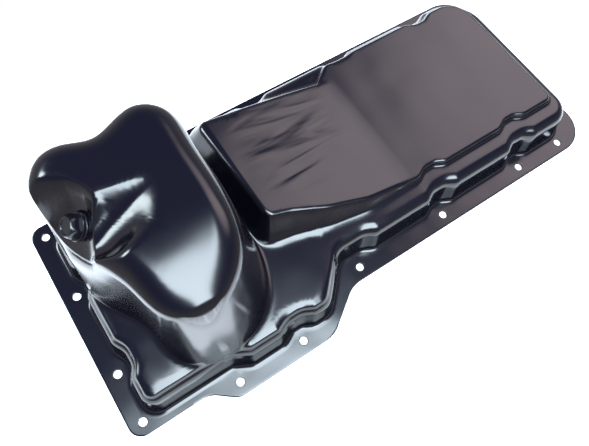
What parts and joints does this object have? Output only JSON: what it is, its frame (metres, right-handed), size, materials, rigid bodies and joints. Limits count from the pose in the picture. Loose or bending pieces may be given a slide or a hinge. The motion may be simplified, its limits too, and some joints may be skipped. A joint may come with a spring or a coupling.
{
  "type": "engine oil pan",
  "caption": "Pressed steel engine oil pan with a deep sump at one end, a shallow tray, a drilled flange and a drain plug that unscrews.",
  "frame": {"origin": "centre of the overall box in plan, on the flange's sealing face", "axes": "+X along the pan from the deep sump to the shallow tray, +Y across it, +Z from the sealing face to the floor of the sump"},
  "size_m": [0.585, 0.2772, 0.178],
  "materials": {
    "black_coat": "semi-gloss black coat on steel",
    "bare_steel": "plain steel, lightly oiled",
    "washer_metal": "dull soft metal",
    "plug_metal": "black coated steel"
  },
  "bodies": {
    "pan": {"pan_shell": "black_coat", "weld_nut": "bare_steel"},
    "washer": {"sealing_washer": "washer_metal"},
    "plug": {"drain_plug": "plug_metal"}
  },
  "joints": [
    {"name": "plug_travel", "type": "slide", "parent": "pan", "child": "washer", "axis": [-0.7154, 0.0752, 0.6947], "range_m": [0, 0.012]},
    {"name": "plug_turn", "type": "hinge", "parent": "washer", "child": "plug", "pos_m": [-0.236, 0.014, 0.147], "axis": [-0.7154, 0.0752, 0.6947], "range_deg": [0, 2880]}
  ],
  "couplings": [
    {"joint": "plug_turn", "follows": "plug_travel", "rad_per_m": 4188.8}
  ]
}
